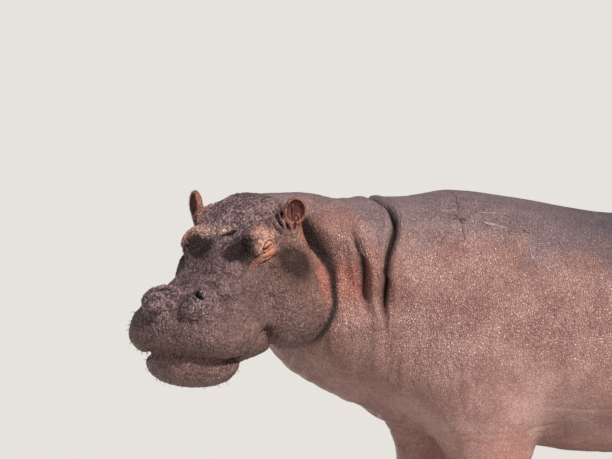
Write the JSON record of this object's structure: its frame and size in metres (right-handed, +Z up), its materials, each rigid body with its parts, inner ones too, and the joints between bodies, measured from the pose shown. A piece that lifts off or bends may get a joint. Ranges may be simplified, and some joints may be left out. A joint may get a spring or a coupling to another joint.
{
  "type": "hippopotamus",
  "caption": "Life-size still model of a standing hippopotamus, head turned to its left and lowered, with cupped ears, small eyes, folded neck, short legs and nailed toes.",
  "frame": {"origin": "on the ground, under the middle of the whole animal's box", "axes": "+X runs along the trunk from the head to the tail, +Y towards the animal's right side, +Z up"},
  "size_m": [3.2366, 1.2938, 1.4646],
  "materials": {
    "hide": "wet, bare, finely wrinkled hide, grey-purple on the back and pinkish brown on the sides",
    "ear_hide": "thin pinkish-brown hide, wet",
    "eye": "glossy dark brown",
    "nail": "dull grey-brown horn"
  },
  "bodies": {
    "root": {"ear_left": "ear_hide", "ear_right": "ear_hide", "eye_left": "eye", "eye_right": "eye", "foreleg_left": "hide", "foreleg_right": "hide", "head": "hide", "hindleg_left": "hide", "hindleg_right": "hide", "lower_jaw": "hide", "nail_foreleg_left_1": "nail", "nail_foreleg_left_2": "nail", "nail_foreleg_left_3": "nail", "nail_foreleg_left_4": "nail", "nail_foreleg_right_1": "nail", "nail_foreleg_right_2": "nail", "nail_foreleg_right_3": "nail", "nail_foreleg_right_4": "nail", "nail_hindleg_left_1": "nail", "nail_hindleg_left_2": "nail", "nail_hindleg_left_3": "nail", "nail_hindleg_left_4": "nail", "nail_hindleg_right_1": "nail", "nail_hindleg_right_2": "nail", "nail_hindleg_right_3": "nail", "nail_hindleg_right_4": "nail", "neck": "hide", "tail": "hide", "trunk": "hide"}
  },
  "joints": []
}
